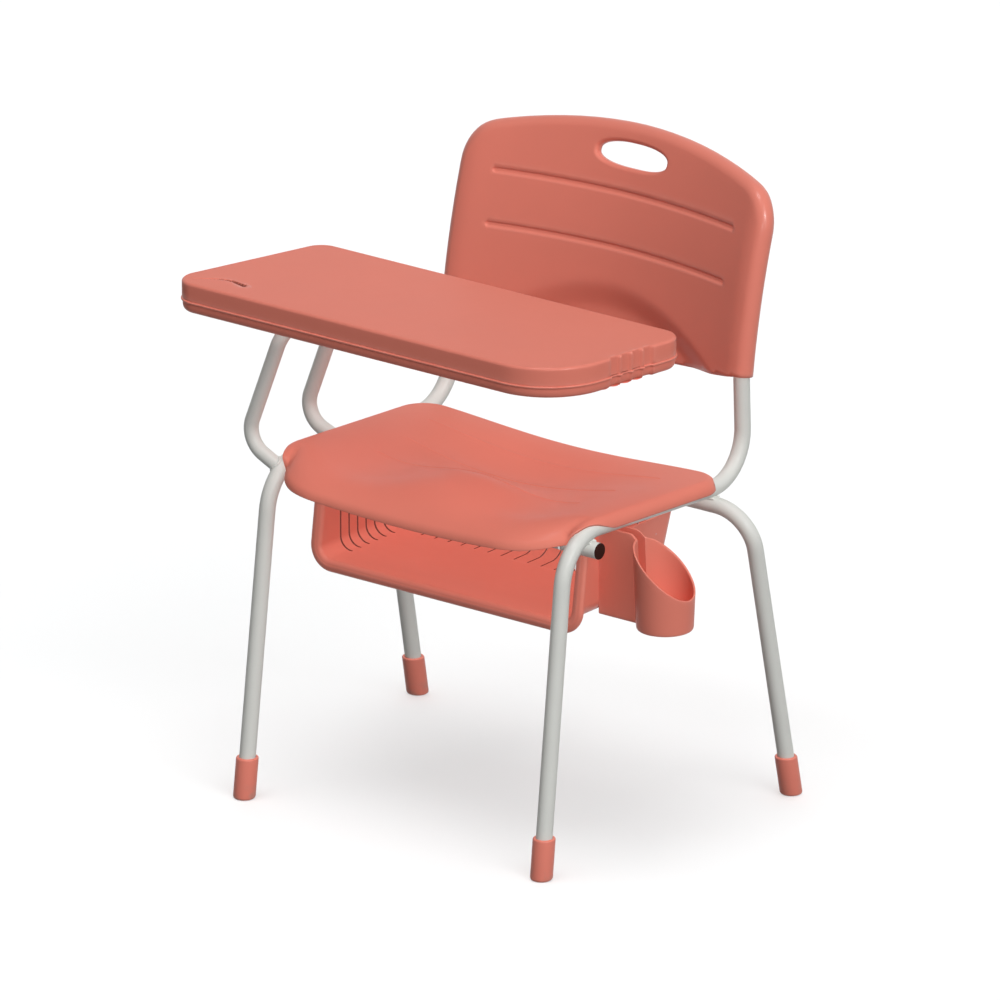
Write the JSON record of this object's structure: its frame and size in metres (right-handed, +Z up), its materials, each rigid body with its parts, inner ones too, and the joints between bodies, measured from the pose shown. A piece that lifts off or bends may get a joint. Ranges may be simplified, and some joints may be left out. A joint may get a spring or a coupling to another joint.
{
  "type": "chair with writing tablet",
  "caption": "School chair on a bent-tube frame, with moulded seat and back, a lift-up writing tablet on an arm, a book basket under the seat and a cup holder.",
  "frame": {"origin": "on the floor, below the middle of the outer box", "axes": "+Z up, the sitter faces -Y, +X to the sitter's left; the tablet arm is on the -X side"},
  "size_m": [0.7202, 0.567, 0.8378],
  "materials": {
    "coral_plastic": "fine moulded grain, satin",
    "grey_paint": "light grey powder coat, satin",
    "dark_plug": "moulded, matte",
    "zinc_steel": "zinc plated"
  },
  "bodies": {
    "chair": {"foot_cap_front_left": "coral_plastic", "foot_cap_front_right": "coral_plastic", "foot_cap_rear_left": "coral_plastic", "foot_cap_rear_right": "coral_plastic", "back_shell": "coral_plastic", "seat_shell": "coral_plastic", "basket": "coral_plastic", "cup_holder": "coral_plastic", "side_tube_left": "grey_paint", "side_tube_right": "grey_paint", "rear_leg_arch": "grey_paint", "front_crossbar": "grey_paint", "tablet_arm": "grey_paint", "tablet_rest": "grey_paint", "crossbar_plug_left": "dark_plug", "crossbar_plug_right": "dark_plug", "back_screw_left_1": "zinc_steel", "back_screw_left_2": "zinc_steel", "back_screw_right_1": "zinc_steel", "back_screw_right_2": "zinc_steel", "seat_screw_front_left": "zinc_steel", "seat_screw_front_right": "zinc_steel", "seat_screw_rear_left": "zinc_steel", "seat_screw_rear_right": "zinc_steel", "basket_rivet_front_left": "zinc_steel", "basket_rivet_front_right": "zinc_steel", "basket_rivet_rear_left": "zinc_steel", "basket_rivet_rear_right": "zinc_steel", "cup_screw_1": "zinc_steel", "cup_screw_2": "zinc_steel", "basket_hanger_front_left": "zinc_steel", "basket_hanger_front_right": "zinc_steel", "basket_hanger_rear_left": "zinc_steel", "basket_hanger_rear_right": "zinc_steel"},
    "tablet": {"tablet_top": "coral_plastic", "tablet_base": "coral_plastic", "hinge_cap_front": "coral_plastic", "hinge_cap_rear": "coral_plastic", "hinge_screw_front_1": "zinc_steel", "hinge_screw_front_2": "zinc_steel", "hinge_screw_rear_1": "zinc_steel", "hinge_screw_rear_2": "zinc_steel"}
  },
  "joints": [
    {"name": "tablet_hinge", "type": "hinge", "parent": "chair", "child": "tablet", "pos_m": [-0.22684, -0.13149, 0.633], "axis": [0, -1, 0], "range_deg": [0, 68]}
  ]
}
